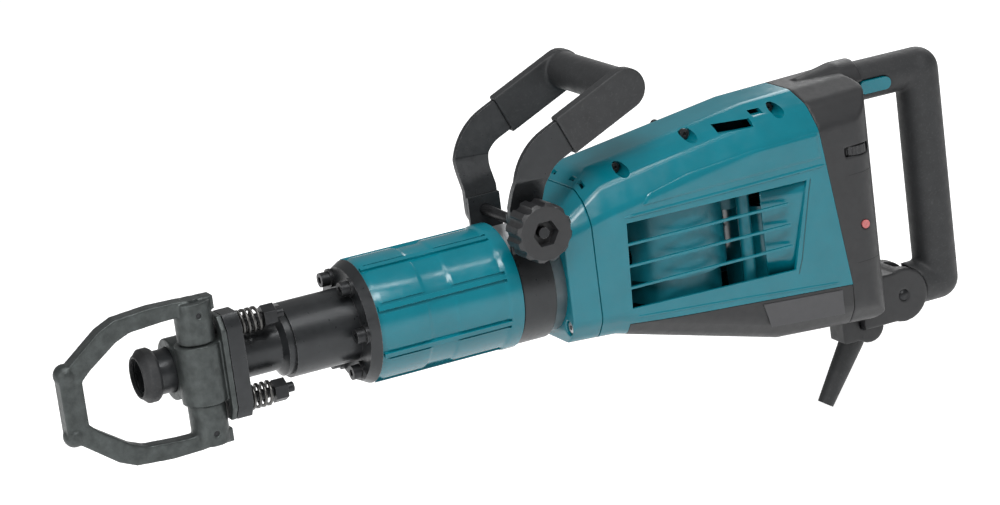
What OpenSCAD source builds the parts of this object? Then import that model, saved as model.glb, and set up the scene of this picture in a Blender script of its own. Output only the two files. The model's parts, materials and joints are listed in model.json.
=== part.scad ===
// Electric demolition hammer lying level.
// +X runs back along the tool axis from the mouth of the tool socket, +Y is the
// tool's left side, +Z is up.  All sizes are in millimetres.

/* [Tool socket] */
// Width across flats of the hexagonal tool socket
hex_af = 28.6; // [25:0.1:30]
// Depth of the hexagonal socket behind its mouth
hex_depth = 138; // [110:1:142]
// Radius of the front sleeve that the retainer block slides on
sleeve_r = 19.5; // [18:0.5:21]
// Radius of the rubber dust collar
collar_r = 24; // [22:0.5:28]

/* [Tool retainer] */
// Forward travel of the sprung retainer block
block_travel = 8; // [4:1:10]
// Height of the retainer's cross shaft axis from the tool axis, to the right
shaft_y = 28; // [28:1:32]
// Radius of the cross shaft
shaft_r = 8; // [6:0.5:9]
// Reach of the retainer loop in front of its shaft
loop_reach = 128; // [100:1:140]
// Thickness of the loop's forged bar
loop_bar = 15; // [12:0.5:17]
// Outer radius of each cushion spring
spring_r = 11.5; // [10:0.5:12]

/* [Barrel] */
// Radius of the thin front tube
front_tube_r = 24; // [23:0.5:27]
// Radius of the thick front tube
rear_tube_r = 33.5; // [30:0.5:36]
// Radius of the bolted flange
flange_r = 56; // [54:0.5:58]
// Radius of the main barrel, which the cover and the handle band sit on
barrel_r = 52; // [50:0.5:53]
// Length of the ribbed cover on the main barrel
cover_len = 138; // [120:1:142]
// Number of ribs on the cover
cover_ribs = 8; // [6:1:12]

/* [Side handle] */
// Width of the clamp band and the handle's flat arms
band_w = 32; // [26:1:33]
// Thickness of the band
band_t = 4; // [3:0.5:5]
// Height of the clamp bolt above the tool axis
bolt_z = 60; // [59:0.5:63]
// Radius of the clamp bolt
bolt_r = 5; // [4:0.5:6]
// Radius of the clamp knob
knob_r = 27; // [22:0.5:27]
// Half of the distance between the arms' inner faces at the grip
arm_y = 59; // [58:0.5:66]
// Thickness of the flat arms
arm_t = 6; // [4:0.5:6]
// Radius of the rubber grip
grip_r = 17; // [14:0.5:18]

/* [Housing] */
// Wall of the plastic housings
wall = 3.5; // [2.5:0.5:4]
// Half of the width of the motor housing
body_w2 = 63; // [62:0.5:68]
// Height of the housing's crown above the tool axis
crown_z = 121; // [116:1:124]
// Depth of the belly below the tool axis
belly_z = 112; // [108:1:116]
// Gap between neighbouring covers
seam = 0.4; // [0.2:0.1:1]
// Number of vanes in each louvre
vanes = 3; // [2:1:4]

/* [Rear handle] */
// Overall length from the socket mouth to the back of the rear handle
overall_len = 826; // [815:1:835]
// Radius of the rear handle's grip
rear_grip_r = 21; // [17:0.5:22]
// Forward travel of the sprung rear handle, in degrees
handle_sway = 1.2; // [0.6:0.2:1.4]

/* [Drive] */
// Crank throw
throw = 20; // [16:1:20]
// Length of the connecting rod between its pins
rod_len = 90; // [86:1:92]
// Radius of the striker and the piston
piston_r = 35; // [32:0.5:36]
// Radial clearance of parts that run in a bore
run_gap = 0.05; // [0.02:0.01:0.1]

/* [Hidden] */
$fn = 64;
e = 0.01;

// Gears
crank_teeth = 60;
slow_teeth = 24;
slow_module = 1.5;
fast_teeth = 68;
pinion_teeth = 12;
fast_module = 1.25;

// Retainer pieces that set the stations behind them
hub_r = 16.5;
block_flange_t = 5;

// Stations along the tool axis
collar_x1 = 16;
block_x0 = collar_x1 + block_travel + 6;
shaft_x = block_x0 + 19;
block_x1 = shaft_x + hub_r + 0.7;
plate_x0 = block_x1 + block_flange_t + 0.5;
plate_x1 = plate_x0 + 14;
step_x = plate_x1 + 45;
flange_x0 = step_x + 68;
flange_x1 = flange_x0 + 9;
cover_x1 = flange_x1 + cover_len;
band_x0 = cover_x1 + 1.5;
bolt_x = band_x0 + band_w / 2;
case_x0 = bolt_x + knob_r + 1.2;
case_x1 = case_x0 + 28;
crank_x = case_x0 + 130;
inter_x = crank_x + pitch_r(crank_teeth, slow_module) + pitch_r(slow_teeth, slow_module);
motor_x = inter_x + pitch_r(fast_teeth, fast_module) + pitch_r(pinion_teeth, fast_module);
teal_x1 = case_x0 + 277;
rear_x1 = case_x0 + 328;
bore_r = piston_r + 6;
front_bore_r = 17;

// Retainer: heights of its stacked round bosses above the middle of the shaft
block_r = 20;
boss_z0 = 27;
hub_z1 = 64;
hub_gap = 0.5;
plate_z = 43;
spring_z = 34;
spring_len = 24;
nut_len = 12;
screw_ring_r = flange_r - 8;

// Side handle: the arms rise from the bolt, then bend back
ear_y = 43;
arm_low_y = ear_y + 0.3;
knob_y0 = arm_low_y + arm_t + 0.6;
knob_len = 34;
recess_len = 10;
bend_r = 27;
bend_z = 92;
arm_slope = 24;
arm_run = 85;
sleeve_start = 14;
rubber_t = 3;
bend_c = [bolt_x + band_w / 2 + bend_r, bend_z];
arm_up = [-sin(arm_slope), cos(arm_slope)];
arm_along = [cos(arm_slope), sin(arm_slope)];
arm_mid = bend_c + (bend_r + band_w / 2) * arm_up;
grip_at = arm_mid + arm_run * arm_along;
rod_r = 11;

// Housing envelope: one column per station, of distance behind the case's front,
// crown, shoulder and belly heights, and half widths of the side and the crown
envelope_at = [
    [0, crown_z - 63, 46, belly_z - 54, body_w2 - 5, 38],
    [46, crown_z - 28, 56, belly_z - 52, body_w2 - 2, 26],
    [210, crown_z - 4, 84, belly_z - 8, body_w2 - 1, 22],
    [rear_x1 - case_x0, crown_z, 88, belly_z, body_w2 - 1, 22]];
corner_r = 17;
belly_x0 = case_x0 + 56;
belly_x1 = teal_x1 + 9;
split_z0 = -50;
split_z1 = -67;
edge_lean = 0.124;

// Louvre window in each side of the motor housing
louvre = [[case_x0 + 62, 44], [case_x0 + 249, 42], [case_x0 + 228, -39], [case_x0 + 58, -35]];
vane_x1 = case_x0 + 228;
vane_z = [for (i = [0:vanes - 1]) 24 - i * 60 / vanes];
screw_at = [[case_x0 + 73, 88], [case_x0 + 147, 103], [case_x0 + 235, 108]];

screw_y = body_w2 - 38;
rear_corner = 24;

// Rear handle
arm_z = crown_z - 16;
arm_r = 19;
pivot = [rear_x1 + 35, -104];
handle_travel = (arm_z - pivot[1]) * sin(handle_sway);
socket_x1 = rear_x1 + 14;
arm_x0 = rear_x1 + 2.6 + handle_travel;
spring_pocket = 3;
grip_axis_x = overall_len - rear_grip_r;
lug_r = 26;
lug_z = pivot[1] - 24;
pin_r = 5;
tongue_y = 9.5;
button_x = rear_x1 + 28;
button_len = 34;
button_z = arm_z - 3;
button_h = 12;
button_y = 36;

// Cord guard
guard_at = [rear_x1 - 7, pivot[1] - 27];
guard_tilt = 213;
guard_len = 78;
cord_r = 5.5;

// Drive
wrist_x = crank_x - sqrt(rod_len * rod_len - throw * throw);
rod_angle = asin(throw / rod_len);
pin_play = 1.2;
drum_r = 54;
deck_z = 62;
stator_r = 44;
shaft_end_r = 6;

// ---------------------------------------------------------------- helpers

function pitch_r(teeth, m) = teeth * m / 2;

// Point at distance r and angle a
function polar(r, a) = [r * cos(a), r * sin(a)];

// Points of an arc about c
function arc(c, r, a0, a1, n = 12) = [for (i = [0:n]) c + polar(r, a0 + (a1 - a0) * i / n)];

// Outline of a gear with straight-sided teeth
function gear_points(teeth, m) = [for (i = [0:teeth - 1])
    for (p = [[-0.30, -1], [-0.14, 0.7], [0.14, 0.7], [0.30, -1]])
        polar(pitch_r(teeth, m) + p[1] * m, (i + p[0]) * 360 / teeth)];

// Cylinder, or cone, along X from x0 to x1
module bar_x(x0, x1, r, r2 = -1) {
    translate([x0, 0, 0])
        rotate([0, 90, 0])
            cylinder(h = x1 - x0, r1 = r, r2 = r2 < 0 ? r : r2);
}

// Tube along X from x0 to x1
module tube_x(x0, x1, r_out, r_in) {
    difference() {
        bar_x(x0, x1, r_out);
        bar_x(x0 - 1, x1 + 1, r_in);
    }
}

// Cylinder along Y from y0 to y1, with its axis at [x, z]
module bar_y(at, y0, y1, r) {
    translate([at[0], y0, at[1]])
        rotate([-90, 0, 0])
            cylinder(h = y1 - y0, r = r);
}

// Cylinder along Z from z0 to z1, with its axis at [x, y]
module bar_z(at, z0, z1, r) {
    translate([at[0], at[1], z0])
        cylinder(h = z1 - z0, r = r);
}

// Ring about Z
module ring_z(at, z0, z1, r_out, r_in) {
    difference() {
        bar_z(at, z0, z1, r_out);
        bar_z(at, z0 - 1, z1 + 1, r_in);
    }
}

// Side outline, drawn in X and Z, made solid between y0 and y1
module side_solid(points, y0, y1) {
    translate([0, y1, 0])
        rotate([90, 0, 0])
            linear_extrude(y1 - y0)
                polygon(points);
}

// Box between two corners
module block(a, b) {
    translate(a)
        cube(b - a);
}

// The child and its mirror image in the XZ plane
module both_sides() {
    children();
    mirror([0, 1, 0])
        children();
}

// The child and its mirror image in the XY plane
module above_and_below() {
    children();
    mirror([0, 0, 1])
        children();
}

// Helical spring along X from x0
module coil(x0, length, r, wire_r, turns, sides = 8, steps = 12) {
    count = turns * steps;
    pitch = (length - 2 * wire_r) / turns;
    rings = [for (i = [0:count]) for (j = [0:sides - 1])
        let (a = i * 360 / steps, w = polar(wire_r, j * 360 / sides))
            [x0 + wire_r + pitch * i / steps + w[0], (r - wire_r + w[1]) * cos(a),
                (r - wire_r + w[1]) * sin(a)]];
    skin = [for (i = [0:count - 1]) for (j = [0:sides - 1])
        let (a = i * sides + j, b = i * sides + (j + 1) % sides)
            each [[a, b, b + sides], [a, b + sides, a + sides]]];
    ends = [[for (j = [sides - 1:-1:0]) j], [for (j = [0:sides - 1]) count * sides + j]];
    polyhedron(rings, concat(skin, ends));
}

// ---------------------------------------------------------------- tool socket and retainer

module dust_collar() color([0.09, 0.09, 0.1]) {
    translate([collar_x1, 0, 0])
        rotate([0, -90, 0])
            rotate_extrude()
                polygon([[sleeve_r, 0], [collar_r - 2, 0], [collar_r, 3], [collar_r, 10],
                    [collar_r - 4, 14], [collar_r - 5, collar_x1], [front_bore_r, collar_x1],
                    [front_bore_r, collar_x1 - 4], [sleeve_r, collar_x1 - 4]]);
}

// Sliding block: a socket housing on the sleeve, merged with the upright shaft housing
module retainer_block() color([0.24, 0.25, 0.26]) {
    difference() {
        union() {
            bar_x(block_x0, block_x1 + 1, sleeve_r + 8);
            bar_z([shaft_x, -shaft_y], -boss_z0 + hub_gap, boss_z0 - hub_gap, block_r);
            block([shaft_x - 17, -shaft_y, -boss_z0 + 3], [block_x1 + 1, 0, boss_z0 - 3]);
            plate_solid(block_x1, block_x1 + block_flange_t);
        }
        bar_x(0, plate_x1, sleeve_r + run_gap);
        bar_z([shaft_x, -shaft_y], -hub_z1, hub_z1, shaft_r + run_gap);
        above_and_below()
            translate([0, -shaft_y, spring_z])
                bar_x(block_x1 - 1, plate_x0, 4.5);
    }
}

module cushion_bolts() color([0.2, 0.2, 0.21]) {
    above_and_below()
        translate([0, -shaft_y, spring_z])
            bar_x(block_x1, plate_x1 + spring_len + nut_len + 8, 4.5);
}

module cushion_nuts() color([0.2, 0.2, 0.21]) {
    above_and_below()
        translate([plate_x1 + spring_len + 0.5, -shaft_y, spring_z])
            rotate([0, 90, 0])
                difference() {
                    cylinder(h = nut_len, r = 10.5, $fn = 6);
                    translate([0, 0, -1])
                        cylinder(h = nut_len + 2, r = 4.5);
                }
}

module cushion_springs() color([0.35, 0.35, 0.36]) {
    above_and_below()
        translate([0, -shaft_y, spring_z])
            coil(plate_x1 + 0.3, spring_len - 0.2, spring_r, 1.5, 4);
}

module retainer_shaft() color([0.3, 0.3, 0.31]) {
    difference() {
        bar_z([shaft_x, -shaft_y], -hub_z1 - 2, hub_z1 + 2, shaft_r);
        pin_holes();
    }
}

// Cross holes for the two spring pins
module pin_holes() {
    above_and_below()
        bar_y([shaft_x, hub_z1 - 11], -shaft_y - 40, -shaft_y + 40, 2.5);
}

module retainer_loop() color([0.17, 0.18, 0.18]) {
    outer_z = hub_z1 + 4;
    inner_z = outer_z - loop_bar;
    front_bar = loop_bar + 5;
    difference() {
        union() {
            above_and_below() {
                bar_z([shaft_x, -shaft_y], boss_z0, hub_z1, hub_r);
                translate([shaft_x, -shaft_y, 0])
                    side_solid(concat(loop_half(loop_reach, outer_z),
                        [[18, outer_z - 2], [18, inner_z + 1]],
                        reverse(loop_half(loop_reach - front_bar, inner_z))),
                        -loop_bar / 2, loop_bar / 2);
                translate([shaft_x - loop_reach + loop_bar / 2, -shaft_y, outer_z * 0.4])
                    sphere(r = loop_bar * 0.66);
            }
            translate([shaft_x - loop_reach, -shaft_y - loop_bar / 2, -outer_z * 0.3])
                cube([front_bar, loop_bar, outer_z * 0.6]);
        }
        bar_z([shaft_x, -shaft_y], -hub_z1 - 9, hub_z1 + 9, shaft_r);
        pin_holes();
    }
}

// Upper half of the loop's outline, from the front bar back to the arm
function loop_half(reach, height) = [[-reach, -e], [-reach, height * 0.36],
    [-reach * 0.93, height * 0.5], [-reach * 0.68, height * 0.86], [-reach * 0.56, height * 0.96],
    [-reach * 0.3, height]];
function reverse(list) = [for (i = [len(list) - 1:-1:0]) list[i]];

module retainer_pins() color([0.3, 0.3, 0.31]) {
    above_and_below()
        bar_y([shaft_x, hub_z1 - 11], -shaft_y - hub_r + 2, -shaft_y + hub_r - 2, 2.5);
}

// ---------------------------------------------------------------- barrel

module front_barrel() color([0.22, 0.23, 0.24]) {
    difference() {
        union() {
            bar_x(4, plate_x0, sleeve_r);
            plate_solid(plate_x0, plate_x1);
            bar_x(plate_x0, step_x, front_tube_r);
            bar_x(step_x - 4, step_x, front_tube_r, rear_tube_r - 3);
            bar_x(step_x, step_x + 6, rear_tube_r - 3);
            bar_x(step_x + 6, flange_x0, rear_tube_r);
            bar_x(flange_x0, flange_x1, flange_r - 5, flange_r);
        }
        socket_hole();
        bar_x(hex_depth + 10, flange_x1 + 1, front_bore_r);
        flange_holes(4);
        above_and_below()
            translate([0, -shaft_y, spring_z])
                bar_x(plate_x0 - 1, plate_x1 + 1, 4.5 + run_gap);
    }
}

// Hexagonal hole for the tool's shank, with a lead-in cone behind it
module socket_hole() {
    corner = hex_af / 2 / cos(30);
    rotate([0, 90, 0])
        rotate([0, 0, 30]) {
            cylinder(h = hex_depth, r = corner, $fn = 6);
            translate([0, 0, -1])
                cylinder(h = 6, r = corner, $fn = 6);
        }
    bar_x(hex_depth - e, hex_depth + 11, hex_af / 2, front_bore_r);
}

// Tall plate with cut corners: the block's flange, and what it is pulled against
module plate_solid(x0, x1) {
    half = [[-shaft_y - 17, 0], [-shaft_y - 17, plate_z - 8], [-shaft_y - 9, plate_z + 4],
        [-shaft_y + 11, plate_z + 4], [0, front_tube_r + 6], [20, front_tube_r - 2],
        [front_tube_r + 4, 0]];
    translate([x0, 0, 0])
        rotate([90, 0, 90])
            linear_extrude(x1 - x0)
                union() {
                    polygon(half);
                    mirror([0, 1])
                        polygon(half);
                }
}

// Six holes on the flange's screw circle
module flange_holes(r) {
    for (i = [0:5])
        rotate([30 + i * 60, 0, 0])
            translate([0, 0, screw_ring_r - 4])
                bar_x(flange_x0 - 1, flange_x1 + 14, r);
}

module flange_screws() color([0.15, 0.15, 0.16]) {
    for (i = [0:5])
        rotate([30 + i * 60, 0, 0])
            translate([0, 0, screw_ring_r - 4])
                difference() {
                    union() {
                        bar_x(flange_x0, flange_x1 + 12, 4);
                        bar_x(flange_x0 - 3, flange_x0, 8.5);
                        bar_x(flange_x0 - 11, flange_x0 - 3, 6.5);
                    }
                    translate([flange_x0 - 12, 0, 0])
                        rotate([0, 90, 0])
                            cylinder(h = 6, r = 3.5, $fn = 6);
                }
}

module main_barrel() color([0.3, 0.31, 0.32]) {
    difference() {
        union() {
            bar_x(flange_x1, case_x0, barrel_r);
            bar_x(case_x0 - e, case_x0 + 24, barrel_r - 4);
        }
        bar_x(flange_x1 - 1, flange_x1 + 26, front_bore_r);
        bar_x(flange_x1 + 25, case_x0 + 25, bore_r);
        for (i = [0:5])
            rotate([30 + i * 60, 0, 0])
                translate([0, 0, screw_ring_r - 4])
                    bar_x(flange_x1 - 1, flange_x1 + 12, 4);
    }
}

// Ribbed plastic cover, with raised pads at both ends and a rolled rear rim
module barrel_cover() color([0.07, 0.5, 0.58]) {
    pad_r = barrel_r + 3.6;
    rib_r = barrel_r + 4.8;
    difference() {
        union() {
            bar_x(flange_x1, cover_x1, barrel_r + 2);
            bar_x(flange_x1 + 4, flange_x1 + 8, barrel_r + 2, pad_r);
            bar_x(flange_x1 + 8, flange_x1 + 46, pad_r);
            bar_x(flange_x1 + 46, flange_x1 + 51, pad_r, barrel_r + 2);
            bar_x(cover_x1 - 66, cover_x1 - 61, barrel_r + 2, pad_r);
            bar_x(cover_x1 - 61, cover_x1 - 16, pad_r);
            bar_x(cover_x1 - 16, cover_x1 - 10, pad_r, rib_r + 1);
            bar_x(cover_x1 - 10, cover_x1, rib_r + 1);
            for (i = [0:cover_ribs - 1])
                rotate([(i + 0.5) * 360 / cover_ribs, 0, 0])
                    block([flange_x1 + 2, -2.2, barrel_r + 1], [cover_x1 - 8, 2.2, rib_r]);
        }
        bar_x(flange_x1 - 1, cover_x1 + 1, barrel_r);
        for (i = [0:cover_ribs - 1])
            rotate([(i + 0.5) * 360 / cover_ribs, 0, 0])
                both_sides()
                    block([flange_x1 + 3, 2.2, barrel_r + 2.2], [cover_x1 - 12, 5, barrel_r + 9]);
    }
}

// ---------------------------------------------------------------- hammer mechanism

module impact_bolt() color([0.55, 0.56, 0.57]) {
    bar_x(hex_depth, hex_depth + 16, hex_af / 2 - 0.8);
    bar_x(hex_depth + 16, flange_x1 + 18, front_bore_r - run_gap);
    bar_x(flange_x1 + 18, flange_x1 + 55, 12);
}

module striker() color([0.5, 0.51, 0.52]) {
    difference() {
        union() {
            bar_x(flange_x1 + 100, wrist_x - 67, piston_r - run_gap);
            bar_x(flange_x1 + 93, flange_x1 + 100, piston_r - 10, piston_r - run_gap);
        }
        tube_x(flange_x1 + 115, flange_x1 + 119, piston_r + 1, piston_r - 2.5);
    }
}

module cylinder_sleeve() color([0.6, 0.61, 0.62]) {
    tube_x(flange_x1 + 33, case_x0 + 54, bore_r, piston_r);
}

module piston() color([0.7, 0.71, 0.72]) {
    difference() {
        bar_x(wrist_x - 28, wrist_x + 19, piston_r - run_gap);
        block([wrist_x - 15, -18, -9], [wrist_x + 20, 18, 9]);
        bar_z([wrist_x, 0], -piston_r - 1, piston_r + 1, 7);
        tube_x(wrist_x - 24, wrist_x - 20, piston_r + 1, piston_r - 2.5);
    }
}

module wrist_pin() color([0.62, 0.62, 0.64]) {
    bar_z([wrist_x, 0], -28, 28, 7);
}

module connecting_rod() color([0.5, 0.5, 0.52]) {
    translate([wrist_x, 0, 0])
        rotate([0, 0, rod_angle])
            difference() {
                union() {
                    bar_z([0, 0], -8, 8, 12.5);
                    bar_z([rod_len, 0], -8, 8, 15);
                    block([8, -7, -8], [rod_len - 8, 7, 8]);
                }
                bar_z([0, 0], -9, 9, 7 + pin_play);
                bar_z([rod_len, 0], -9, 9, 8 + run_gap);
                above_and_below()
                    block([20, -4, 5], [rod_len - 22, 4, 9]);
            }
}

module crankshaft() color([0.5, 0.5, 0.52]) {
    bar_z([crank_x, 0], 12, 24, 32);
    bar_z([crank_x, throw], -10, 12 + e, 8);
    bar_z([crank_x, 0], 24 - e, deck_z, 12);
}

// Gear about Z whose first tooth points along +X
module gear(x, z0, z1, teeth, m, turn, hole_r) {
    translate([x, 0, z0])
        difference() {
            rotate([0, 0, turn])
                linear_extrude(z1 - z0)
                    polygon(gear_points(teeth, m));
            translate([0, 0, -1])
                cylinder(h = z1 - z0 + 2, r = hole_r);
        }
}

module crank_gear() color([0.45, 0.45, 0.46]) {
    gear(crank_x, 42, 54, crank_teeth, slow_module, 0, 12);
}

module crank_bearings() color([0.65, 0.65, 0.68]) {
    ring_z([crank_x, 0], 28, 40, 22, 12);
    ring_z([crank_x, 0], 55, deck_z, 19, 12);
}

module intermediate_gears() color([0.45, 0.45, 0.46]) {
    bar_z([inter_x, 0], 24, 72, 8);
    gear(inter_x, 42, 54, slow_teeth, slow_module, 180 / slow_teeth, 8);
    gear(inter_x, 63.5, 71, fast_teeth, fast_module, 0, 8);
}

module intermediate_bearings() color([0.65, 0.65, 0.68]) {
    ring_z([inter_x, 0], 25, 35, 15, 8);
    ring_z([inter_x, 0], 55, 61, 15, 8);
}

// Cast case that carries the crank, the gears' bearings and the motor's upper bearing
module crankcase() color([0.62, 0.63, 0.64]) {
    difference() {
        union() {
            bar_z([crank_x, 0], -22, deck_z, drum_r);
            bar_z([crank_x, 0], -46, -21, drum_r - 7);
            both_sides() {
                bar_z([inter_x, 38], -46, 50, 6);
                block([inter_x - 5, 0, 39], [inter_x + 5, 38, 49]);
            }
            bar_z([inter_x, 0], 22, deck_z, 25);
            bar_z([motor_x, 0], 38, 52, 17);
            block([inter_x, -12, 38], [motor_x, 12, 52]);
        }
        bar_z([crank_x, 0], -18, 26, drum_r - 4.5);
        bar_z([crank_x, 0], -42, -17, drum_r - 11);
        bar_z([crank_x, 0], 25, 56, 22);
        bar_z([crank_x, 0], 41, 55, drum_r - 4.5);
        bar_z([crank_x, 0], 54, deck_z + 1, 19);
        bar_z([inter_x, 0], 41, 55, 21);
        bar_z([inter_x, 0], 25, 42, 15);
        bar_z([inter_x, 0], 18, 26, 9);
        bar_z([inter_x, 0], 54, deck_z + 1, 15);
        bar_z([motor_x, 0], 37, 53, 13);
        bar_x(crank_x - drum_r - 5, crank_x - 40, 24);
    }
}

// ---------------------------------------------------------------- motor

module armature() color([0.42, 0.42, 0.44]) {
    bar_z([motor_x, 0], -86, 60, shaft_end_r);
    difference() {
        bar_z([motor_x, 0], -48, 2, 28.5);
        for (i = [0:11])
            translate([motor_x, 0, 0])
                rotate([0, 0, i * 30])
                    block([22, -1.5, -50], [30, 1.5, 4]);
    }
    bar_z([motor_x, 0], 60 - e, 72, 4);
    gear(motor_x, 61, 72, pinion_teeth, fast_module, 180 / pinion_teeth, 4);
}

module commutator() color([0.72, 0.42, 0.2]) {
    difference() {
        ring_z([motor_x, 0], -68, -52, 16, shaft_end_r);
        for (i = [0:23])
            translate([motor_x, 0, 0])
                rotate([0, 0, i * 15])
                    block([14.5, -0.4, -69], [17, 0.4, -54]);
    }
}

module cooling_fan() color([0.1, 0.1, 0.11]) {
    ring_z([motor_x, 0], 6, 8.5, 40, shaft_end_r);
    ring_z([motor_x, 0], 8.5 - e, 18, 11, shaft_end_r);
    for (i = [0:11])
        translate([motor_x, 0, 0])
            rotate([0, 0, i * 30])
                block([10, -1, 8.5 - e], [39, 1, 17]);
}

module field_coil() color([0.6, 0.35, 0.16]) {
    ring_z([motor_x, 0], -50, 4, stator_r, 29.5);
}

module motor_bearings() color([0.65, 0.65, 0.68]) {
    ring_z([motor_x, 0], 39, 49, 13, shaft_end_r);
    ring_z([motor_x, 0], -84, -75, 13, shaft_end_r);
}

module carbon_brushes() color([0.12, 0.12, 0.12]) {
    both_sides()
        block([motor_x - 4, 16.4, -65], [motor_x + 4, 34, -57]);
}

module brush_holders() color([0.75, 0.6, 0.25]) {
    both_sides()
        difference() {
            block([motor_x - 6, 20, -67], [motor_x + 6, 40, -55]);
            block([motor_x - 4, 19, -65], [motor_x + 4, 34, -57]);
        }
}

module motor_housing() color([0.05, 0.38, 0.44]) {
    difference() {
        union() {
            bar_z([motor_x, 0], -74, 21, stator_r + 4);
            bar_z([motor_x, 0], -90, -73, 18);
        }
        bar_z([motor_x, 0], -70, 22, stator_r);
        bar_z([motor_x, 0], -84, -69, 13);
        bar_z([motor_x, 0], -87.5, -80, shaft_end_r + 1);
    }
}

// ---------------------------------------------------------------- side handle

// Flat bar of the arm from the bolt up round the bend
module arm_outline(grow, start) {
    r_out = bend_r + band_w + grow;
    r_in = bend_r - grow;
    along0 = start * arm_along;
    tip = arc(grip_at, band_w / 2 + grow, 90 + arm_slope, -90 + arm_slope, 16);
    if (start > 0)
        polygon(concat([bend_c + r_in * arm_up + along0, bend_c + r_out * arm_up + along0], tip));
    else
        polygon(concat(arc([bolt_x, bolt_z], band_w / 2, 360, 180, 16),
            arc(bend_c, r_out, 180, 90 + arm_slope), tip, arc(bend_c, r_in, 90 + arm_slope, 180)));
}

// Front view of the right-hand arm: upright at the bolt, joggled out, upright again
module arm_front() {
    low = arm_low_y;
    z0 = bolt_z + 20;
    z1 = bolt_z + 46;
    polygon([[low, 20], [low, z0], [arm_y, z1], [arm_y, 230], [arm_y + arm_t, 230],
        [arm_y + arm_t, z1 - 1], [low + arm_t, z0 - 1], [low + arm_t, 20]]);
}

module left_arm() {
    difference() {
        intersection() {
            translate([0, arm_y + arm_t + 10, 0])
                rotate([90, 0, 0])
                    linear_extrude(arm_y + arm_t + 9)
                        arm_outline(0, 0);
            translate([bolt_x - 60, 0, 0])
                rotate([90, 0, 90])
                    linear_extrude(220)
                        arm_front();
        }
        bar_y([bolt_x, bolt_z], 20, arm_y, bolt_r + run_gap);
    }
}

module handle_arm_left() color([0.28, 0.29, 0.3]) {
    left_arm();
}

module handle_arm_right() color([0.28, 0.29, 0.3]) {
    mirror([0, 1, 0])
        left_arm();
}

module grip_rod() color([0.28, 0.29, 0.3]) {
    bar_y(grip_at, -arm_y, arm_y, rod_r);
}

// One moulding: the grip and a sleeve over the end of each arm
module grip_rubber() color([0.13, 0.13, 0.14]) {
    difference() {
        union() {
            bar_y(grip_at, -arm_y, arm_y, grip_r);
            both_sides()
                translate([0, arm_y + arm_t + rubber_t, 0])
                    rotate([90, 0, 0])
                        linear_extrude(arm_t + 2 * rubber_t)
                            arm_outline(rubber_t, sleeve_start);
        }
        bar_y(grip_at, -arm_y, arm_y, rod_r);
        both_sides()
            translate([0, arm_y + arm_t, 0])
                rotate([90, 0, 0])
                    linear_extrude(arm_t)
                        arm_outline(0, sleeve_start - 1);
    }
}

// Clamp band round the barrel, with an upright ear at each end for the bolt
module handle_band() color([0.26, 0.27, 0.28]) {
    band_x1 = band_x0 + band_w;
    difference() {
        union() {
            bar_x(band_x0, band_x1, barrel_r + run_gap + band_t);
            both_sides()
                block([band_x0, ear_y - band_t, 20], [band_x1, ear_y, bolt_z + 14]);
        }
        bar_x(band_x0 - 1, band_x1 + 1, barrel_r + run_gap);
        block([band_x0 - 1, band_t - ear_y, 0], [band_x1 + 1, ear_y - band_t, bolt_z + 20]);
        bar_y([bolt_x, bolt_z], -ear_y - 1, ear_y + 1, bolt_r);
    }
}

module clamp_bolt() color([0.3, 0.3, 0.31]) {
    head_y = arm_low_y + arm_t + 0.3;
    bar_y([bolt_x, bolt_z], -knob_y0 - knob_len + 4, head_y + 1, bolt_r);
    translate([bolt_x, head_y, bolt_z])
        rotate([-90, 0, 0])
            cylinder(h = 7, r = 9.5, $fn = 6);
}

// Fluted knob with a hexagonal recess in its face
module clamp_knob() color([0.2, 0.2, 0.21]) {
    translate([bolt_x, -knob_y0, bolt_z])
        rotate([90, 0, 0])
            difference() {
                union() {
                    cylinder(h = 8, r1 = knob_r - 9, r2 = knob_r - 5);
                    translate([0, 0, 8])
                        cylinder(h = knob_len - 11, r = knob_r);
                    translate([0, 0, knob_len - 3])
                        cylinder(h = 3, r1 = knob_r, r2 = knob_r - 3);
                }
                for (i = [0:11])
                    rotate([0, 0, i * 30])
                        translate([knob_r + 2, 0, 6])
                            cylinder(h = knob_len, r = 4.6);
                translate([0, 0, knob_len - recess_len])
                    cylinder(h = recess_len + 1, r = 12.5, $fn = 6);
                translate([0, 0, -1])
                    cylinder(h = knob_len, r = bolt_r + run_gap);
            }
}

// ---------------------------------------------------------------- housings

// Section of the housing at one station, set in from the outside by inset
module section(station, inset) {
    crown = station[1];
    shoulder = station[2];
    belly = station[3];
    side = station[4];
    top = station[5];
    half = [[top, crown], [side * 0.78, crown * 0.42 + shoulder * 0.58 + 8], [side, shoulder],
        [side, 20 - belly], [side - 14, -belly]];
    other = [for (i = [len(half) - 1:-1:0]) [-half[i][0], half[i][1]]];
    translate([case_x0 + station[0], 0, 0])
        rotate([90, 0, 90])
            linear_extrude(e)
                offset(r = corner_r, $fn = 32)
                    offset(delta = -corner_r - inset)
                        polygon(concat(half, other));
}

// Whole outside of the housings, lofted through its stations
module envelope(inset) {
    for (i = [0:2])
        hull() {
            section(envelope_at[i], inset);
            section(envelope_at[i + 1], inset);
        }
}

// Height of the line between the motor housing and the belly
function split_z(x) = split_z0 + (split_z1 - split_z0) * (x - belly_x0) / (belly_x1 - belly_x0);

module gear_case() color([0.07, 0.5, 0.58]) {
    difference() {
        intersection() {
            envelope(0);
            block([case_x0, -200, -200], [case_x1, 200, 200]);
        }
        bar_x(case_x0 - 1, case_x1 + 1, barrel_r - 4);
        case_screw_holes(6.5, case_x0 - 1, case_x0 + 8);
    }
}

// Screws at the four corners of the gear case's front
module case_screw_holes(r, x0, x1) {
    for (y = [-1, 1])
        for (z = [-42, 40])
            translate([0, y * (body_w2 - 17), z])
                bar_x(x0, x1, r);
}

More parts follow.
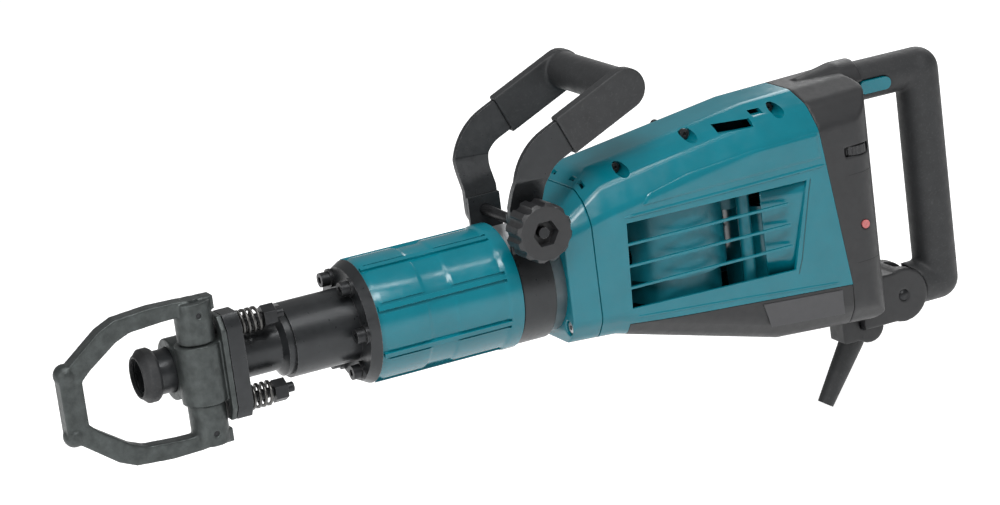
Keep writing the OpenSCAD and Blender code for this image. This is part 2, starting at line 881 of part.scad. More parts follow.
module case_screws() color([0.5, 0.48, 0.45]) {
    difference() {
        case_screw_holes(5, case_x0 + 2, case_x0 + 8);
        case_screw_holes(2.2, case_x0, case_x0 + 5);
    }
}

// Motor housing: a shell with louvres, shoulder screws and cooling slots
module main_housing() color([0.07, 0.5, 0.58]) {
    x0 = case_x1 + seam;
    outline = [[x0, -200], [belly_x0 - 4, -200], [belly_x0, split_z(belly_x0) + seam],
        [belly_x1, split_z(belly_x1) + seam], [teal_x1 - edge_lean * 200, 200], [x0, 200]];
    intersection() {
        difference() {
            envelope(0);
            difference() {
                envelope(wall);
                both_sides()
                    for (p = screw_at)
                        bar_y(p, screw_y - 3, 80, 9);
            }
            both_sides()
                louvre_window();
            both_sides()
                for (p = screw_at)
                    bar_y(p, screw_y, 90, 6.3);
            top_slots();
        }
        side_solid(outline, -200, 200);
    }
}

// Louvre window less its vanes
module louvre_window() {
    difference() {
        side_solid(louvre, body_w2 - 9, body_w2 + 5);
        for (z = vane_z)
            block([case_x0 + 40, body_w2 - 10, z - 1], [vane_x1, body_w2 + 6, z + 1]);
    }
}

// Vents in the sloping front and slots along the right shoulder
module top_slots() {
    for (y = [-34, -18, 18, 34])
        block([case_x1 + 5, y - 4.5, 60], [case_x1 + 9, y + 4.5, 110]);
    both_sides() {
        block([case_x0 + 172, 26, 100], [case_x0 + 206, 70, 107]);
        block([case_x0 + 210, 22, 108], [case_x0 + 222, 60, 112]);
    }
}

module housing_screws() color([0.4, 0.4, 0.4]) {
    both_sides()
        for (p = screw_at)
            difference() {
                bar_y(p, screw_y, screw_y + 4, 4.5);
                bar_y(p, screw_y + 2, screw_y + 5, 2);
            }
}

module belly_cover() color([0.2, 0.2, 0.21]) {
    outline = [[belly_x0 - 4 + seam, -200], [belly_x0 + seam, split_z(belly_x0)],
        [belly_x1 - seam, split_z(belly_x1)], [belly_x1 - seam, -200]];
    intersection() {
        difference() {
            envelope(0);
            envelope(wall);
        }
        side_solid(outline, -200, 200);
    }
}

// Bare raised plate on the right side of the belly
module name_plate() color([0.33, 0.33, 0.34]) {
    x0 = belly_x0 + 134;
    x1 = belly_x1 - 12;
    translate([0, 1 - body_w2, 0])
        side_solid([[x0 + 6, split_z(x0) - 26], [x0, split_z(x0) - 3], [x1, split_z(x1) - 3],
            [x1, split_z(x1) - 26]], -1, 0);
}

// Rear cover: a shell with a socket above and a forked lug below for the rear handle
module rear_cover() color([0.17, 0.17, 0.18]) {
    c = rear_corner;
    outline = concat([[belly_x1, -200], [belly_x1, split_z(belly_x1)],
        [teal_x1 - edge_lean * 200 + seam, 200], [teal_x1, 200]],
        arc([rear_x1 - c / 2, crown_z - c / 2], c / 2, 90, 0), arc([rear_x1 - c, c - belly_z], c, 0, -90),
        [[rear_x1 - c, -200]]);
    plan = concat([[belly_x0, -200]], arc([rear_x1 - c, 1 + c - body_w2], c, -90, 0),
        arc([rear_x1 - c, body_w2 - 1 - c], c, 0, 90), [[belly_x0, 200]]);
    difference() {
        union() {
            intersection() {
                envelope(0);
                side_solid(outline, -200, 200);
                translate([0, 0, -200])
                    linear_extrude(400)
                        polygon(plan);
            }
            translate([0, 0, arm_z]) {
                bar_x(rear_x1 - 46, rear_x1 - 6, arm_r - 3, arm_r + 4.5);
                bar_x(rear_x1 - 6, socket_x1, arm_r + 4.5);
            }
            block([rear_x1 - 10, -23, lug_z], [pivot[0], 23, pivot[1] + 24]);
            bar_y(pivot, -23, 23, lug_r);
        }
        intersection() {
            envelope(wall);
            union() {
                block([0, -200, -200], [rear_x1 - c + 2, 200, 200]);
                block([0, -36, -66], [rear_x1 - wall, 36, 76]);
            }
        }
        translate([0, 0, arm_z])
            bar_x(rear_x1 + 1, socket_x1 + 1, arm_r + 1.2);
        bar_y(pivot, -tongue_y - 0.5, tongue_y + 0.5, lug_r - 7);
        block([pivot[0], -tongue_y - 0.5, pivot[1] - 40],
            [pivot[0] + 40, tongue_y + 0.5, pivot[1] + 40]);
        bar_y(pivot, -24, 24, pin_r);
        block([rear_x1 + 5.2, -60, button_z - button_h / 2 - 1.2],
            [socket_x1 + 1, 60, button_z + button_h / 2 + 1.2]);
        block([rear_x1 - 36, -body_w2 - 1, 53.5], [rear_x1 - 8, -35, 62.5]);
        bar_y([rear_x1 - 22, -13], -body_w2 - 1, -50, 4);
        cord_way();
    }
}

module speed_dial() color([0.14, 0.14, 0.15]) {
    difference() {
        bar_z([rear_x1 - 22, -50], 54, 62, 13);
        for (i = [0:17])
            translate([rear_x1 - 22, -50, 0])
                rotate([0, 0, i * 20])
                    bar_z([13.6, 0], 53, 63, 1.1);
    }
}

module indicator_lamp() color([0.75, 0.25, 0.25]) {
    bar_y([rear_x1 - 22, -13], -body_w2 + 0.2, -50, 4);
}

module controller() color([0.1, 0.3, 0.16]) {
    block([rear_x1 - 36, -30, -40], [rear_x1 - 12, 30, 40]);
}

// ---------------------------------------------------------------- rear handle

module rear_handle() color([0.15, 0.15, 0.16]) {
    low_z = pivot[1] + 2;
    difference() {
        union() {
            translate([0, 0, arm_z])
                bar_x(arm_x0, grip_axis_x, arm_r);
            bar_z([grip_axis_x, 0], low_z, arm_z - 2, rear_grip_r);
            translate([grip_axis_x, 0, arm_z - 2])
                sphere(r = rear_grip_r);
            translate([grip_axis_x, 0, low_z])
                sphere(r = rear_grip_r);
            difference() {
                translate([0, 0, low_z])
                    bar_x(pivot[0], grip_axis_x, rear_grip_r);
                bar_y(pivot, -40, 40, lug_r + 1);
            }
            block([pivot[0], -tongue_y, pivot[1] - 15], [grip_axis_x, tongue_y, pivot[1] + 15]);
            bar_y(pivot, -tongue_y, tongue_y, lug_r - 8.5);
        }
        bar_y(pivot, -tongue_y - 1, tongue_y + 1, pin_r + run_gap);
        translate([0, 0, arm_z])
            bar_x(arm_x0 - 1, arm_x0 + spring_pocket, 9);
        button_prism(-40, 40, 0.4);
        block([button_x - 14, -8.2, button_z + 4], [button_x + 14, 8.2, arm_z + 13]);
    }
}

module handle_pin() color([0.45, 0.45, 0.46]) {
    bar_y(pivot, -23, 23, pin_r);
}

module handle_spring() color([0.4, 0.4, 0.42]) {
    translate([0, 0, arm_z])
        coil(rear_x1 + 1.1, arm_x0 + spring_pocket - 0.1 - rear_x1 - 1.1, 8, 0.9, 2);
}

// Pill-shaped bar across the handle's arm
module button_prism(y0, y1, grow) {
    r = button_h / 2 + grow;
    reach = button_len / 2 - button_h / 2;
    bar_y([button_x - reach, button_z], y0, y1, r);
    bar_y([button_x + reach, button_z], y0, y1, r);
    block([button_x - reach, y0, button_z - r], [button_x + reach, y1, button_z + r]);
}

module switch_button() color([0.07, 0.5, 0.58]) {
    button_prism(-button_y / 2 - 2.5, button_y / 2 - 2.5, 0);
}

module switch_body() color([0.1, 0.1, 0.1]) {
    block([button_x - 13.5, -8, button_z + button_h / 2 + 0.8], [button_x + 13.5, 8, arm_z + 12.5]);
}

// ---------------------------------------------------------------- cord inlet

// Places its child with Z along the cord guard
module on_guard() {
    translate([guard_at[0], 0, guard_at[1]])
        rotate([0, guard_tilt, 0])
            children();
}

module cord_guard() color([0.12, 0.12, 0.12]) {
    on_guard()
        difference() {
            union() {
                cylinder(h = 14, r = 11.5);
                translate([0, 0, 14 - e])
                    cylinder(h = guard_len - 14, r1 = 11.5, r2 = 7.8);
            }
            translate([0, 0, -1])
                cylinder(h = guard_len + 2, r = cord_r);
        }
}

module cord_clamp() color([0.16, 0.16, 0.17]) {
    low_z = guard_at[1] - 9;
    difference() {
        union() {
            block([guard_at[0] - 22, -14, low_z], [guard_at[0] - 3.4, 14, -belly_z - 0.1]);
            intersection() {
                bar_y([guard_at[0] + 6, lug_z], -15, 15, 16);
                block([guard_at[0] - 3.5, -16, lug_z - 20], [guard_at[0] + 30, 16, lug_z - 0.1]);
            }
        }
        on_guard()
            translate([0, 0, -12])
                cylinder(h = 60, r = 11.5);
        cord_way();
    }
}

// Way for the cord through its guard's seat and up into the rear cover
module cord_way() {
    on_guard()
        translate([0, 0, -14])
            cylinder(h = 16, r = cord_r + 0.5);
    bar_z([guard_at[0] - 12, 0], guard_at[1] - 2, wall + 2 - belly_z, cord_r);
}

dust_collar();
retainer_block();
cushion_bolts();
cushion_nuts();
cushion_springs();
retainer_shaft();
retainer_loop();
retainer_pins();
front_barrel();
flange_screws();
main_barrel();
barrel_cover();
impact_bolt();
striker();
cylinder_sleeve();
piston();
wrist_pin();
connecting_rod();
crankshaft();
crank_gear();
crank_bearings();
crankcase();
intermediate_gears();
intermediate_bearings();
armature();
commutator();
cooling_fan();
field_coil();
motor_bearings();
carbon_brushes();
brush_holders();
motor_housing();
handle_band();
clamp_bolt();
clamp_knob();
handle_arm_right();
handle_arm_left();
grip_rod();
grip_rubber();
gear_case();
case_screws();
main_housing();
housing_screws();
belly_cover();
name_plate();
rear_cover();
speed_dial();
indicator_lamp();
controller();
rear_handle();
handle_pin();
handle_spring();
switch_button();
switch_body();
cord_guard();
cord_clamp();
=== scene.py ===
import json
import math
import bpy
from mathutils import Matrix, Vector
from mathutils.bvhtree import BVHTree


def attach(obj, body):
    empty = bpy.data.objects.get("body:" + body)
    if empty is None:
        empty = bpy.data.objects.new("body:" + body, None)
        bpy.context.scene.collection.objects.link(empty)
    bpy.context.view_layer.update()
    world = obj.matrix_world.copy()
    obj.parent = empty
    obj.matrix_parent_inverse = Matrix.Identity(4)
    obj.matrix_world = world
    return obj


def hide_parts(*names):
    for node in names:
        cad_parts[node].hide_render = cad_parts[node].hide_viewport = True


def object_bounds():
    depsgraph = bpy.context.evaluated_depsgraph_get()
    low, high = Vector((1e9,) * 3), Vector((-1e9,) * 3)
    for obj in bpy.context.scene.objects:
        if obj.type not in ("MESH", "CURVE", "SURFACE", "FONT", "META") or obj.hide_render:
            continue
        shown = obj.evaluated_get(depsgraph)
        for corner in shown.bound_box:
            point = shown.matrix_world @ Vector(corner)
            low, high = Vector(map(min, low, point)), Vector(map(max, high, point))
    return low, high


MM = 0.001
WELD_DISTANCE = 0.00002
SHARP_ANGLE = math.radians(36)
RIGHT_SIDE, LEFT_SIDE = (-1, "right"), (1, "left")
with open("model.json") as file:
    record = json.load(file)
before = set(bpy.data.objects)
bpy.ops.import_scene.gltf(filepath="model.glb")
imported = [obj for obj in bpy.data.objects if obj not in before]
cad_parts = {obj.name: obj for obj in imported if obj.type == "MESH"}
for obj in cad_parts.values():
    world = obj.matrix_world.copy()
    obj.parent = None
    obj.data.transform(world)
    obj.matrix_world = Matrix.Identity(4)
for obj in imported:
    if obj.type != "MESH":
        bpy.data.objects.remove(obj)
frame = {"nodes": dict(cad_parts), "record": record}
nodes = frame["nodes"]
cad_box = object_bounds()
scene = bpy.context.scene

# ---------------------------------------------------------------- camera
RIGHT = Vector((0.88995, -0.43835, -0.12586))
UP = Vector((0.22685, 0.18607, 0.95599))
BACK = Vector((-0.39564, -0.87934, 0.26503))
EYE = Vector((-0.885, -2.755, 0.859))
cam_data = bpy.data.cameras.new("photo_camera")
cam_data.sensor_width = 36.0
cam_data.lens = 125.8
camera = bpy.data.objects.new("photo_camera", cam_data)
scene.collection.objects.link(camera)
turn = Matrix((RIGHT, UP, BACK)).transposed().to_4x4()
camera.matrix_world = Matrix.Translation(EYE) @ turn
scene.camera = camera
scene.view_settings.view_transform = "Standard"


# ---------------------------------------------------------------- materials
class Nodes:
    """Short way to write a node tree."""

    def __init__(self, name):
        self.mat = bpy.data.materials.new(name)
        self.mat.use_nodes = True
        self.tree = self.mat.node_tree
        self.shader = self.tree.nodes["Principled BSDF"]
        self.coords = self.tree.nodes.new("ShaderNodeTexCoord").outputs["Object"]

    def add(self, kind, inputs=None, **props):
        n = self.tree.nodes.new("ShaderNode" + kind)
        for k, v in props.items():
            setattr(n, k, v)
        for k, v in (inputs or {}).items():
            if isinstance(v, bpy.types.NodeSocket):
                self.tree.links.new(v, n.inputs[k])
            else:
                n.inputs[k].default_value = v
        return n

    def link(self, a, b):
        self.tree.links.new(a, b)

    def noise(self, scale, detail=4.0, stretch=None):
        vec = self.coords
        if stretch:
            m = self.add("Mapping", {"Vector": vec, "Scale": stretch})
            vec = m.outputs["Vector"]
        n = self.add("TexNoise", {"Vector": vec, "Scale": scale, "Detail": detail})
        return n.outputs["Fac"]

    def spread(self, value, low, high, from_low=0.3, from_high=0.7):
        n = self.add("MapRange", {"Value": value, "From Min": from_low, "From Max": from_high,
                                  "To Min": low, "To Max": high})
        return n.outputs["Result"]

    def blend(self, factor, a, b):
        n = self.add("Mix", data_type="RGBA")
        self.link(factor, n.inputs[0])
        for i, v in ((6, a), (7, b)):
            if isinstance(v, bpy.types.NodeSocket):
                self.link(v, n.inputs[i])
            else:
                n.inputs[i].default_value = (*v, 1)
        return n.outputs[2]


def tint(colour, k):
    return tuple(min(1.0, c * k) for c in colour)


def finish_of(name, colour, rough, metal=0.0, patch=60.0, vary=0.12, grain=1800.0, grain_depth=0.04,
              swell=0.0, swell_scale=180.0, wear=None, wear_width=0.0006, brushed=None, coat=0.0,
              dust=None, rough_spread=0.06):
    """Painted, moulded, forged or machined surface with patches, grain, worn edges and scuffs."""
    b = Nodes(name)
    sh = b.shader
    sh.inputs["Metallic"].default_value = metal
    sh.inputs["Coat Weight"].default_value = coat
    sh.inputs["Coat Roughness"].default_value = 0.12
    patches = b.noise(patch, 5.0)
    base = b.blend(b.spread(patches, 0.0, 1.0), tint(colour, 1 - vary), tint(colour, 1 + vary))
    if dust:
        specks = b.noise(patch * 9, 8.0)
        base = b.blend(b.spread(specks, 0.0, 0.55, 0.55, 0.75), base, dust)
    if wear:
        rounded = b.add("Bevel", {"Radius": wear_width}, samples=4)
        flat = b.add("NewGeometry")
        dot = b.add("VectorMath", operation="DOT_PRODUCT")
        b.link(rounded.outputs["Normal"], dot.inputs[0])
        b.link(flat.outputs["Normal"], dot.inputs[1])
        edge = b.spread(dot.outputs["Value"], 1.0, 0.0, 0.86, 0.99)
        chips = b.spread(b.noise(420.0, 6.0), 0.0, 1.0, 0.42, 0.6)
        both = b.add("Math", operation="MULTIPLY")
        b.link(edge, both.inputs[0])
        b.link(chips, both.inputs[1])
        base = b.blend(both.outputs[0], base, wear)
    b.link(base, sh.inputs["Base Color"])
    streaks = b.noise(700.0, 3.0, brushed) if brushed else b.noise(patch * 2.5, 6.0)
    b.link(b.spread(streaks, rough - rough_spread, rough + rough_spread), sh.inputs["Roughness"])
    bump = b.add("Bump", {"Strength": grain_depth, "Distance": 0.0004,
                          "Height": b.noise(grain, 2.0, brushed)})
    if swell:
        big = b.add("Bump", {"Strength": swell, "Distance": 0.0012,
                             "Height": b.noise(swell_scale, 5.0), "Normal": bump.outputs["Normal"]})
        bump = big
    b.link(bump.outputs["Normal"], sh.inputs["Normal"])
    return b.mat


TEAL = (0.001, 0.165, 0.215)
MATS = {
    "teal_plastic": finish_of("teal_plastic", TEAL, 0.2, patch=30, vary=0.07, grain=900,
                              grain_depth=0.015, wear=(0.03, 0.3, 0.36), wear_width=0.0005),
    "teal_paint": finish_of("teal_paint", (0.003, 0.15, 0.195), 0.38, patch=45, vary=0.12, grain=700,
                            grain_depth=0.12, swell=0.08),
    "black_plastic": finish_of("black_plastic", (0.019, 0.0195, 0.021), 0.48, patch=70, vary=0.1,
                               grain=2600, grain_depth=0.16, wear=(0.1, 0.1, 0.105)),
    "black_rubber": finish_of("black_rubber", (0.021, 0.022, 0.0235), 0.6, patch=55, vary=0.14,
                              grain=2000, grain_depth=0.22, dust=(0.05, 0.052, 0.054)),
    "plate_grey": finish_of("plate_grey", (0.06, 0.06, 0.064), 0.42, patch=90, vary=0.06, grain=1500,
                            grain_depth=0.05),
    "forged_steel": finish_of("forged_steel", (0.06, 0.068, 0.067), 0.44, metal=0.6, patch=130,
                              vary=0.28, grain=1300, grain_depth=0.35, swell=0.3, swell_scale=240,
                              wear=(0.26, 0.28, 0.28), wear_width=0.0009, dust=(0.05, 0.055, 0.052)),
    "dark_steel": finish_of("dark_steel", (0.024, 0.026, 0.028), 0.33, metal=0.35, patch=80,
                            vary=0.12, grain=1100, grain_depth=0.12, swell=0.06,
                            wear=(0.2, 0.2, 0.205), wear_width=0.0005),
    "black_oxide": finish_of("black_oxide", (0.025, 0.026, 0.028), 0.4, metal=0.6, patch=150,
                             vary=0.2, grain=1500, grain_depth=0.15, wear=(0.2, 0.2, 0.2)),
    "spring_steel": finish_of("spring_steel", (0.10, 0.098, 0.095), 0.34, metal=0.85, patch=200,
                              vary=0.2, grain=1500, grain_depth=0.1),
    "bright_steel": finish_of("bright_steel", (0.5, 0.5, 0.51), 0.28, metal=1.0, patch=120,
                              vary=0.06, grain=700, grain_depth=0.12, brushed=(0.1, 0.1, 3.0)),
    "alloy": finish_of("alloy", (0.42, 0.43, 0.44), 0.46, metal=0.8, patch=90, vary=0.08,
                       grain=900, grain_depth=0.25, swell=0.08),
    "copper": finish_of("copper", (0.5, 0.22, 0.09), 0.36, metal=0.85, patch=160, vary=0.16,
                        grain=900, grain_depth=0.3, brushed=(1.0, 1.0, 0.05)),
    "brass": finish_of("brass", (0.6, 0.44, 0.18), 0.34, metal=0.95, patch=120, vary=0.1,
                       grain=900, grain_depth=0.1),
    "carbon": finish_of("carbon", (0.02, 0.02, 0.021), 0.6, patch=200, vary=0.2, grain=2500,
                        grain_depth=0.2),
    "board": finish_of("board", (0.02, 0.09, 0.04), 0.4, patch=150, vary=0.15, grain=800,
                       grain_depth=0.1),
    "lamp_red": finish_of("lamp_red", (0.55, 0.13, 0.13), 0.25, patch=200, vary=0.08, grain=600,
                          grain_depth=0.05, coat=0.5),
    "groove": finish_of("groove", (0.012, 0.012, 0.013), 0.7, patch=80, vary=0.1, grain=1500,
                        grain_depth=0.05),
    # Darker teal of the same plastic: painted shade for the recessed groove behind each louvre
    # window
    "teal_painted_groove_shade": finish_of("teal_painted_groove_shade", (0.002, 0.075, 0.095), 0.5, patch=80, vary=0.1,
                             grain=1500, grain_depth=0.05),
}
slot_of = {s["node"]: s["material_slot"] for s in frame["record"]["subparts"]}

# Width of the rounded edges of each carried-over node, in millimetres
ROUND = {"main_housing": 0.7, "gear_case": 1.6, "belly_cover": 0.9, "rear_cover": 0.9,
         "barrel_cover": 0.9, "handle_arm_right": 0.8, "handle_arm_left": 0.8, "handle_band": 0.7,
         "clamp_knob": 0.9, "front_barrel": 0.8, "flange_screws": 0.5, "cushion_nuts": 0.5,
         "dust_collar": 0.8, "cord_guard": 0.4, "name_plate": 0.3, "switch_button": 1.6,
         "speed_dial": 0.5, "crankcase": 0.8, "motor_housing": 0.8, "retainer_shaft": 0.6,
         "cushion_bolts": 0.6, "clamp_bolt": 0.6, "retainer_pins": 0.3, "case_screws": 0.5,
         "housing_screws": 0.4, "indicator_lamp": 0.8}


def set_finish(obj, slot):
    obj.data.materials.clear()
    obj.data.materials.append(MATS[slot])


def soften(obj, width_mm):
    weld = obj.modifiers.new("weld", "WELD")
    weld.merge_threshold = WELD_DISTANCE
    if width_mm:
        bevel = obj.modifiers.new("round", "BEVEL")
        bevel.width = width_mm * MM
        bevel.segments = 3
        bevel.limit_method = "ANGLE"
        bevel.angle_limit = SHARP_ANGLE
        bevel.use_clamp_overlap = True
        bevel.miter_outer = "MITER_ARC"
        weighted = obj.modifiers.new("normals", "WEIGHTED_NORMAL")
        weighted.keep_sharp = True


for name, obj in nodes.items():
    set_finish(obj, slot_of[name])
    custom = obj.data.attributes.get("custom_normal")
    if custom:
        obj.data.attributes.remove(custom)
    obj.data.polygons.foreach_set("use_smooth", [True] * len(obj.data.polygons))
    soften(obj, ROUND.get(name, 0))
    if name not in ROUND:
        obj.data.set_sharp_from_angle(angle=SHARP_ANGLE)


# ---------------------------------------------------------------- helpers for new pieces
def new_piece(name, verts, faces, slot, body):
    mesh = bpy.data.meshes.new(name)
    mesh.from_pydata([tuple(v) for v in verts], [], faces)
    mesh.validate()
    mesh.update()
    obj = bpy.data.objects.new(name, mesh)
    scene.collection.objects.link(obj)
    mesh.polygons.foreach_set("use_smooth", [True] * len(mesh.polygons))
    set_finish(obj, slot)
    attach(obj, body)
    return obj


def surface_of(*names):
    """Ray-cast tree of CAD nodes at rest."""
    verts, faces = [], []
    for n in names:
        base = len(verts)
        me = nodes[n].data
        verts += [v.co.copy() for v in me.vertices]
        faces += [tuple(base + i for i in p.vertices) for p in me.polygons]
    return BVHTree.FromPolygons(verts, faces)


def drape(tree, x, z, side):
    """Point and normal where a ray from one side meets the surface at x and z."""
    hit, normal, _, _ = tree.ray_cast(Vector((x, side * 0.2, z)), Vector((0, -side, 0)))
    if hit is None:
        return Vector((x, side * 0.06, z)), Vector((0, side, 0))
    return hit, normal if normal.y * side > 0 else -normal


def lines(points, n):
    """n points spread evenly along a polyline."""
    pts = [Vector(p) for p in points]
    lengths = [(b - a).length for a, b in zip(pts, pts[1:])]
    total = sum(lengths)
    out = []
    for i in range(n):
        d = total * i / (n - 1)
        k = 0
        while k < len(lengths) - 1 and d > lengths[k]:
            d -= lengths[k]
            k += 1
        out.append(pts[k].lerp(pts[k + 1], min(1.0, d / lengths[k])))
    return out


def bead(name, tree, path_mm, side, slot, body, radius=1.4, proud=0.6, count=60):
    """Round bead that follows a surface, sunk so that it stands proud by the given amount."""
    pts = lines([(x * MM, z * MM) for x, z in path_mm], count)
    ring, sides = [], 10
    centres = []
    for p in pts:
        at, normal = drape(tree, p.x, p.y, side)
        centres.append((at + normal * (proud - radius) * MM, normal))
    verts, faces = [], []
    for i, (c, normal) in enumerate(centres):
        a = centres[max(0, i - 1)][0]
        b = centres[min(len(centres) - 1, i + 1)][0]
        along = (b - a).normalized()
        across = along.cross(normal).normalized()
        taper = min(1.0, 0.35 + min(i, len(centres) - 1 - i) * 0.3)
        for j in range(sides):
            t = 2 * math.pi * j / sides
            verts.append(c + (across * math.cos(t) + normal * math.sin(t)) * radius * taper * MM)
    for i in range(len(centres) - 1):
        for j in range(sides):
            a = i * sides + j
            b = i * sides + (j + 1) % sides
            faces.append((a, b, b + sides, a + sides))
    faces.append(tuple(range(sides - 1, -1, -1)))
    faces.append(tuple(range(len(verts) - sides, len(verts))))
    new_piece(name, verts, faces, slot, body)


def panel(name, tree, low_mm, high_mm, side, slot, body, proud=0.7, nu=70, nv=14):
    """Thin raised panel on a surface, between a lower and an upper edge line."""
    low = lines([(x * MM, z * MM) for x, z in low_mm], nu)
    high = lines([(x * MM, z * MM) for x, z in high_mm], nu)
    verts = []
    for i in range(nu):
        for j in range(nv):
            p = low[i].lerp(high[i], j / (nv - 1))
            at, normal = drape(tree, p.x, p.y, side)
            rim = i in (0, nu - 1) or j in (0, nv - 1)
            verts.append(at + normal * (-0.4 if rim else proud) * MM)
    faces = []
    for i in range(nu - 1):
        for j in range(nv - 1):
            a = i * nv + j
            quad = (a, a + 1, a + nv + 1, a + nv)
            faces.append(quad if side > 0 else quad[::-1])
    new_piece(name, verts, faces, slot, body)


def recast(name, node, voxel_mm, passes, slot, body, keep):
    """Copy of a CAD node with its edges blended as a casting or a moulding has them."""
    mesh = nodes[node].data.copy()
    obj = bpy.data.objects.new(name, mesh)
    scene.collection.objects.link(obj)
    obj.modifiers.new("weld", "WELD").merge_threshold = WELD_DISTANCE
    remesh = obj.modifiers.new("remesh", "REMESH")
    remesh.mode = "VOXEL"
    remesh.voxel_size = voxel_mm * MM
    smooth = obj.modifiers.new("smooth", "SMOOTH")
    smooth.factor = 0.5
    smooth.iterations = passes
    obj.modifiers.new("fewer", "DECIMATE").ratio = keep
    depsgraph = bpy.context.evaluated_depsgraph_get()
    done = bpy.data.meshes.new_from_object(obj.evaluated_get(depsgraph))
    obj.modifiers.clear()
    obj.data = done
    done.name = name
    bpy.data.meshes.remove(mesh)
    done.polygons.foreach_set("use_smooth", [True] * len(done.polygons))
    set_finish(obj, slot)
    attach(obj, body)
    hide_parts(node)


# ---------------------------------------------------------------- blended castings and mouldings
recast("forged_block", "retainer_block", 0.9, 5, "forged_steel", "retainer_block", 0.5)
recast("forged_loop", "retainer_loop", 1.0, 6, "forged_steel", "retainer_loop", 0.5)
recast("moulded_rear_handle", "rear_handle", 1.5, 9, "black_rubber", "rear_handle", 0.5)
recast("moulded_grip", "grip_rubber", 1.2, 5, "black_rubber", "side_handle", 0.5)
recast("moulded_cord_clamp", "cord_clamp", 0.9, 16, "black_plastic", "hammer", 0.6)
recast("moulded_rear_cover", "rear_cover", 1.1, 7, "black_plastic", "hammer", 0.3)
recast("moulded_gear_case", "gear_case", 1.1, 6, "teal_plastic", "hammer", 0.35)

# ---------------------------------------------------------------- details on the housings
teal_skin = surface_of("main_housing")
rear_skin = surface_of("rear_cover")
belly_skin = surface_of("belly_cover")
for side, tag in (RIGHT_SIDE, LEFT_SIDE):
    bead("ridge_" + tag, teal_skin, [(450, 49.5), (560, 50.5), (664, 52)], side, "teal_plastic",
         "hammer", 2.0, 1.1)
    bead("sill_" + tag, teal_skin, [(449, -43), (560, -52), (668, -62)], side, "teal_plastic",
         "hammer", 1.6, 0.6)
    panel("side_panel_" + tag, teal_skin, [(470, 56), (560, 57), (659, 58)],
          [(478, 66), (520, 76), (590, 82.5), (657, 84)], side, "teal_plastic", "hammer", 0.8)
    # Dark teal bead standing slightly proud: painted shade in place of the recessed groove at the
    # rear of the louvre
    bead("painted_groove_shade_" + tag, teal_skin, [(645, 45), (641, 30), (627, -30), (621, -46)], side,
         "teal_painted_groove_shade", "hammer", 1.3, 0.25)
    for k, z in enumerate((36, -48)):
        bead("cover_seam_%d_%s" % (k, tag), rear_skin, [(682, z), (717, z + 1)], side, "groove",
             "hammer", 0.6, 0.12, 20)

# Scooped sheet behind the vanes, from the rear of each louvre window
SCOOP_REAR_X, SCOOP_LENGTH = 0.6435, 0.046
SCOOP_OUT_Y, SCOOP_DEPTH = 0.0585, 0.0105
SCOOP_LOW_Z, SCOOP_HEIGHT = -0.043, 0.089
for side, tag in (RIGHT_SIDE, LEFT_SIDE):
    verts, faces, nu, nv = [], [], 24, 6
    for i in range(nu):
        t = i / (nu - 1)
        x = SCOOP_REAR_X - SCOOP_LENGTH * t
        y = SCOOP_OUT_Y - SCOOP_DEPTH * math.sin(t * math.pi / 2) ** 1.6
        for j in range(nv):
            verts.append((x, side * y, SCOOP_LOW_Z + SCOOP_HEIGHT * j / (nv - 1)))
    for i in range(nu - 1):
        for j in range(nv - 1):
            a = i * nv + j
            faces.append((a, a + 1, a + nv + 1, a + nv))
    scoop = new_piece("scoop_" + tag, verts, faces, "teal_plastic", "hammer")
    thick = scoop.modifiers.new("thick", "SOLIDIFY")
    thick.thickness = 0.0016
    thick.offset = 0.0

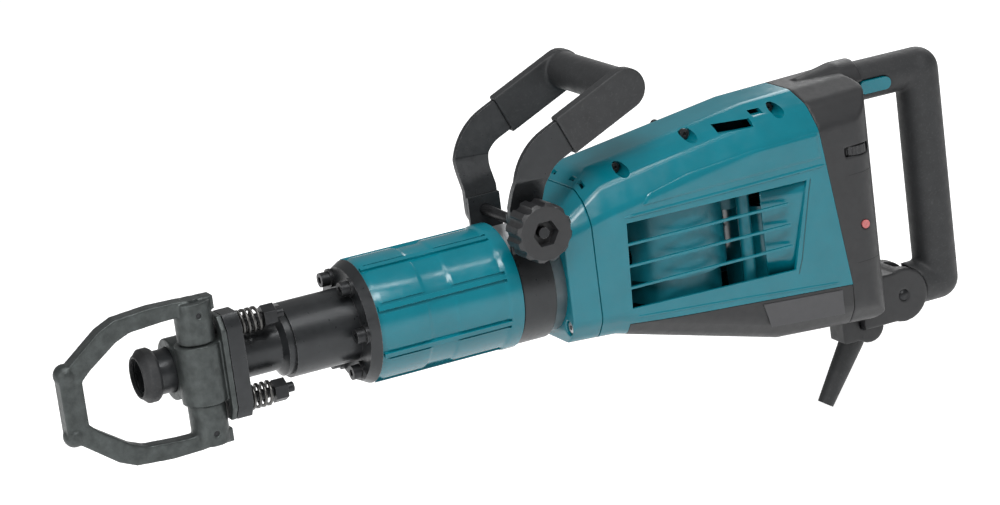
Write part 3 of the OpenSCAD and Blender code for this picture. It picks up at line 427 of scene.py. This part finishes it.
# ---------------------------------------------------------------- floor and light
FLOOR_Z = cad_box[0][2] - 0.004
FLOOR_GLOW = 0.7
bpy.ops.mesh.primitive_plane_add(size=40, location=(0.4, 0, FLOOR_Z))
floor = bpy.context.object
floor.name = "floor"
b = Nodes("floor_white")
b.shader.inputs["Base Color"].default_value = (0.86, 0.86, 0.86, 1)
b.shader.inputs["Roughness"].default_value = 0.9
b.shader.inputs["Specular IOR Level"].default_value = 0.1
rays = b.add("LightPath")
seen = b.add("Math", operation="MAXIMUM")
b.link(rays.outputs["Is Camera Ray"], seen.inputs[0])
b.link(rays.outputs["Is Glossy Ray"], seen.inputs[1])
seen_clear = b.add("Math", operation="MAXIMUM")
b.link(seen.outputs[0], seen_clear.inputs[0])
b.link(rays.outputs["Is Transmission Ray"], seen_clear.inputs[1])
glow = b.add("Emission", {"Color": (1, 1, 1, 1)})
level = b.add("Math", operation="MULTIPLY")
b.link(seen_clear.outputs[0], level.inputs[0])
level.inputs[1].default_value = FLOOR_GLOW
b.link(level.outputs[0], glow.inputs["Strength"])
both = b.add("AddShader")
b.link(b.shader.outputs[0], both.inputs[0])
b.link(glow.outputs[0], both.inputs[1])
b.link(both.outputs[0], b.tree.nodes["Material Output"].inputs["Surface"])
floor.data.materials.append(b.mat)

world = bpy.data.worlds.new("studio")
world.use_nodes = True
scene.world = world
wt = world.node_tree
back = wt.nodes["Background"]
back.inputs["Color"].default_value = (1, 1, 1, 1)
path = wt.nodes.new("ShaderNodeLightPath")
mix = wt.nodes.new("ShaderNodeMapRange")
wt.links.new(path.outputs["Is Camera Ray"], mix.inputs["Value"])
mix.inputs["To Min"].default_value = 0.28
mix.inputs["To Max"].default_value = 1.0
wt.links.new(mix.outputs["Result"], back.inputs["Strength"])


def softbox(name, at, target, size, watts):
    data = bpy.data.lights.new(name, "AREA")
    data.shape = "RECTANGLE"
    data.size, data.size_y = size
    data.energy = watts
    obj = bpy.data.objects.new(name, data)
    scene.collection.objects.link(obj)
    obj.location = at
    obj.rotation_euler = (Vector(target) - Vector(at)).to_track_quat("-Z", "Y").to_euler()


softbox("key", (0.1, -1.5, 2.0), (0.4, 0, 0), (1.7, 0.5), 36)
softbox("side", (-1.9, -1.4, 0.7), (0.3, 0, 0), (0.6, 1.2), 18)
softbox("strip", (0.3, -0.55, 1.5), (0.45, 0, 0.05), (1.4, 0.12), 6)
softbox("rear_fill", (2.0, 1.4, 1.2), (0.4, 0, 0), (1.2, 1.2), 16)
